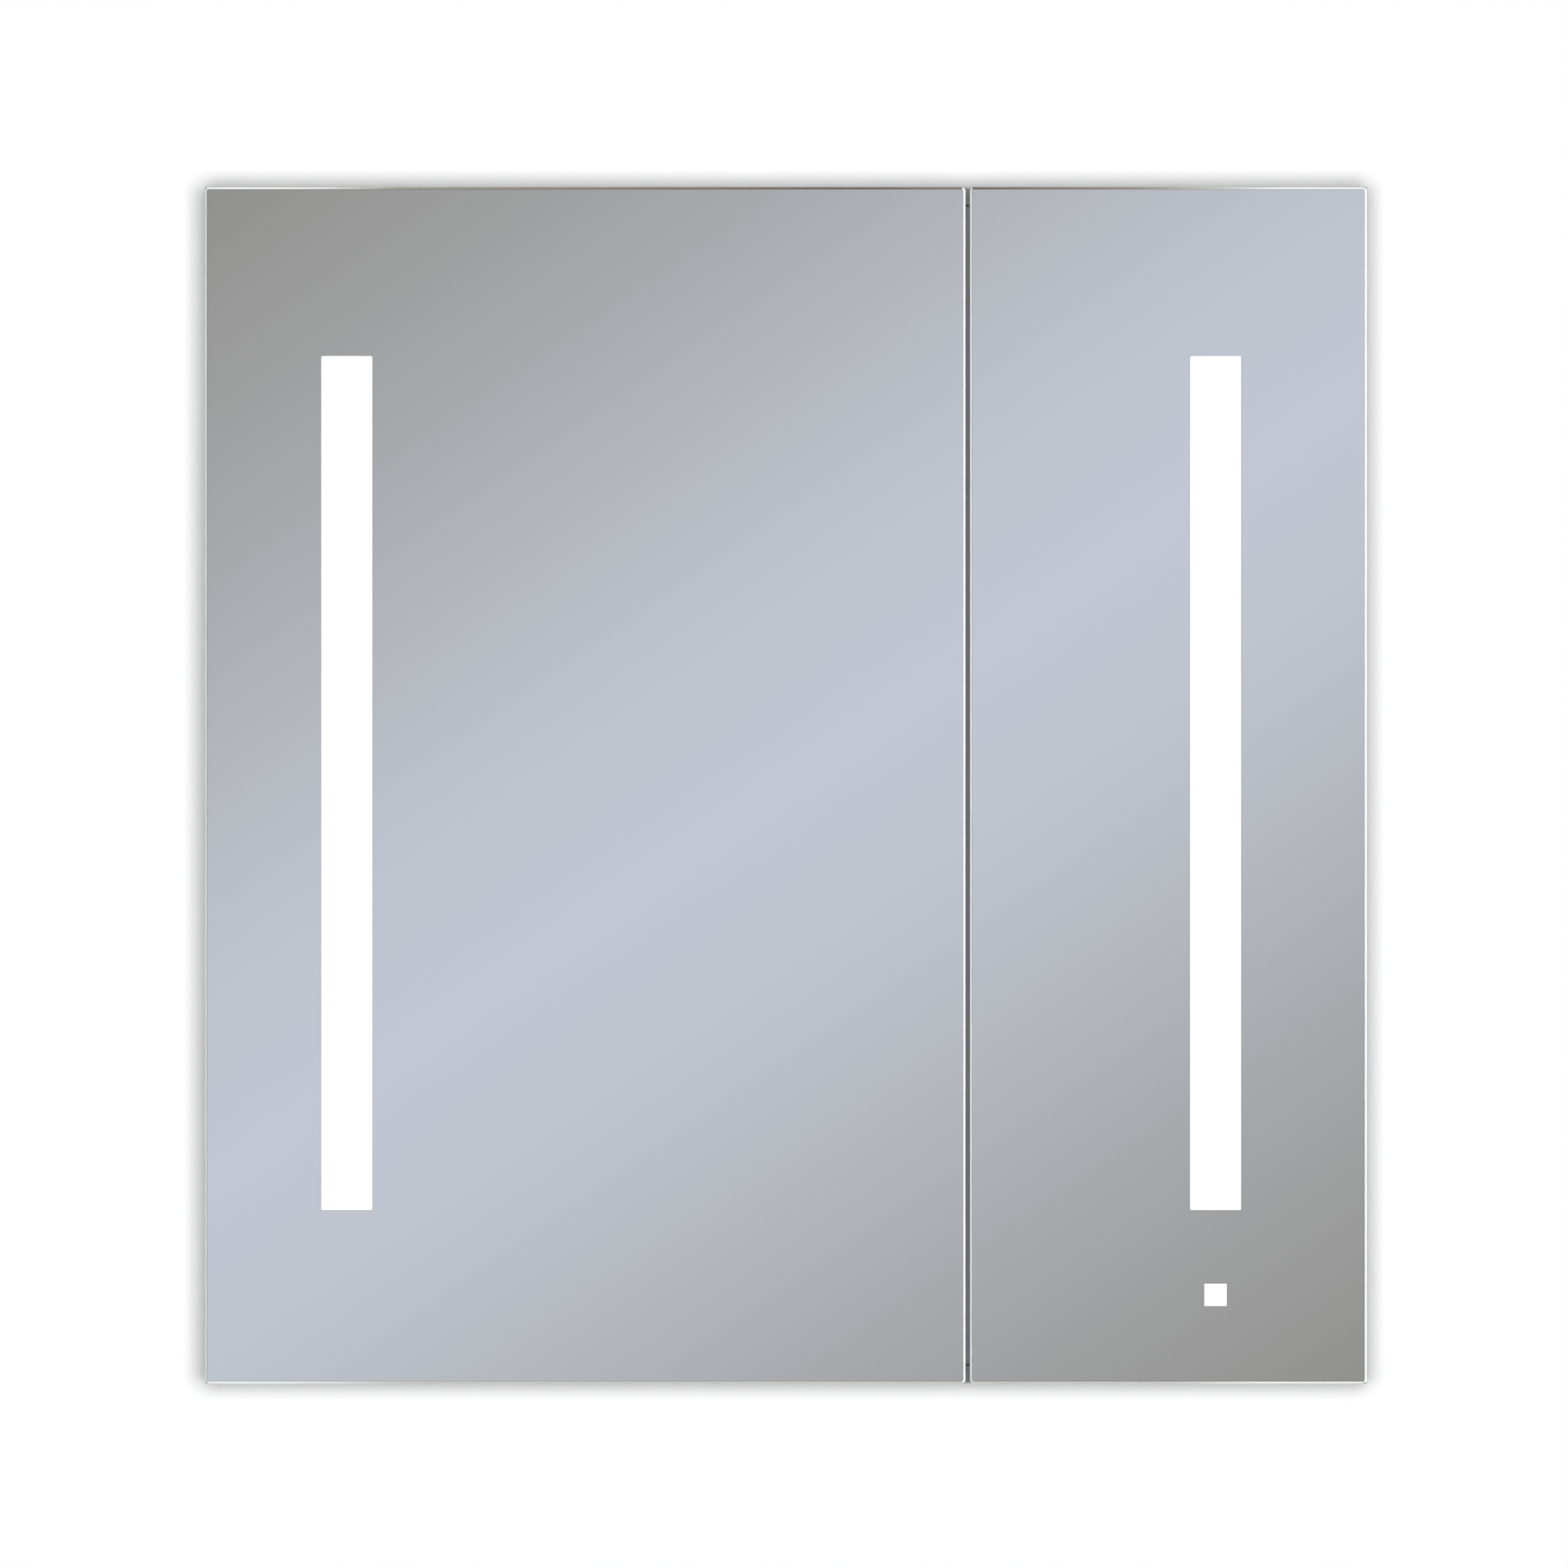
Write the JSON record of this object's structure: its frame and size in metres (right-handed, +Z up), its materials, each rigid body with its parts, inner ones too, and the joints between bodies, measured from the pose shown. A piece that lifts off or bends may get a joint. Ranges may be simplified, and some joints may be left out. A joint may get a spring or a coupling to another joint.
{
  "type": "medicine cabinet with mirror",
  "caption": "Wall-hung medicine cabinet with unequal frameless mirror doors, a lit frosted column in each door, glass shelves and a touch switch.",
  "frame": {"origin": "centre of the back panel's outer face, where the cabinet meets the wall", "axes": "+Y into the wall, -Y towards the room, +X to the right seen from the room, +Z up"},
  "size_m": [0.74, 0.118, 0.762],
  "materials": {
    "anodised_aluminium": "satin anodised extrusion and sheet",
    "door_mirror": "copper-free silvered float glass, polished edges, frosted light windows",
    "inner_mirror": "silvered float glass",
    "shelf_glass": "tempered float glass, ground edges",
    "nickel_plate": "satin nickel plate",
    "bright_steel": "ground steel",
    "opal_acrylic": "opal acrylic, lit from behind",
    "white_board": "white solder resist",
    "green_board": "green solder resist",
    "white_plastic": "moulded",
    "black_rubber": "moulded and extruded rubber"
  },
  "bodies": {
    "cabinet": {"left_side_panel": "anodised_aluminium", "right_side_panel": "anodised_aluminium", "top_panel": "anodised_aluminium", "bottom_panel": "anodised_aluminium", "centre_divider": "anodised_aluminium", "back_panel": "anodised_aluminium", "cable_inlet_bushing": "black_rubber", "driver_cover": "anodised_aluminium", "led_driver": "white_plastic", "wide_back_mirror": "inner_mirror", "narrow_back_mirror": "inner_mirror", "wide_lower_shelf": "shelf_glass", "wide_middle_shelf": "shelf_glass", "wide_upper_shelf": "shelf_glass", "narrow_lower_shelf": "shelf_glass", "narrow_middle_shelf": "shelf_glass", "narrow_upper_shelf": "shelf_glass", "left_door_catch": "white_plastic", "right_door_catch": "white_plastic", "left_upper_hinge_plate": "nickel_plate", "left_upper_hinge_arm": "nickel_plate", "left_lower_hinge_plate": "nickel_plate", "left_lower_hinge_arm": "nickel_plate", "left_door_lead": "black_rubber", "right_upper_hinge_plate": "nickel_plate", "right_upper_hinge_arm": "nickel_plate", "right_lower_hinge_plate": "nickel_plate", "right_lower_hinge_arm": "nickel_plate", "right_door_lead": "black_rubber"},
    "left_door": {"left_door_mirror": "door_mirror", "left_hinge_stile": "anodised_aluminium", "left_free_stile": "anodised_aluminium", "left_top_rail": "anodised_aluminium", "left_bottom_rail": "anodised_aluminium", "left_inner_mirror": "inner_mirror", "left_light_channel": "anodised_aluminium", "left_led_strip": "white_board", "left_diffuser": "opal_acrylic", "left_upper_hinge_socket": "nickel_plate", "left_upper_hinge_pin": "bright_steel", "left_lower_hinge_socket": "nickel_plate", "left_lower_hinge_pin": "bright_steel", "left_strike_plate": "bright_steel"},
    "right_door": {"right_door_mirror": "door_mirror", "right_hinge_stile": "anodised_aluminium", "right_free_stile": "anodised_aluminium", "right_top_rail": "anodised_aluminium", "right_bottom_rail": "anodised_aluminium", "right_inner_mirror": "inner_mirror", "right_light_channel": "anodised_aluminium", "right_led_strip": "white_board", "right_diffuser": "opal_acrylic", "right_upper_hinge_socket": "nickel_plate", "right_upper_hinge_pin": "bright_steel", "right_lower_hinge_socket": "nickel_plate", "right_lower_hinge_pin": "bright_steel", "right_strike_plate": "bright_steel", "touch_sensor_window": "opal_acrylic", "touch_sensor_board": "green_board"}
  },
  "joints": [
    {"name": "left_door_swing", "type": "hinge", "parent": "cabinet", "child": "left_door", "pos_m": [-0.3632, -0.1055, 0], "axis": [0, 0, -1], "range_deg": [0, 105], "deforming": ["left_door_lead"]},
    {"name": "right_door_swing", "type": "hinge", "parent": "cabinet", "child": "right_door", "pos_m": [0.3632, -0.1055, 0], "axis": [0, 0, 1], "range_deg": [0, 105], "deforming": ["right_door_lead"]}
  ]
}
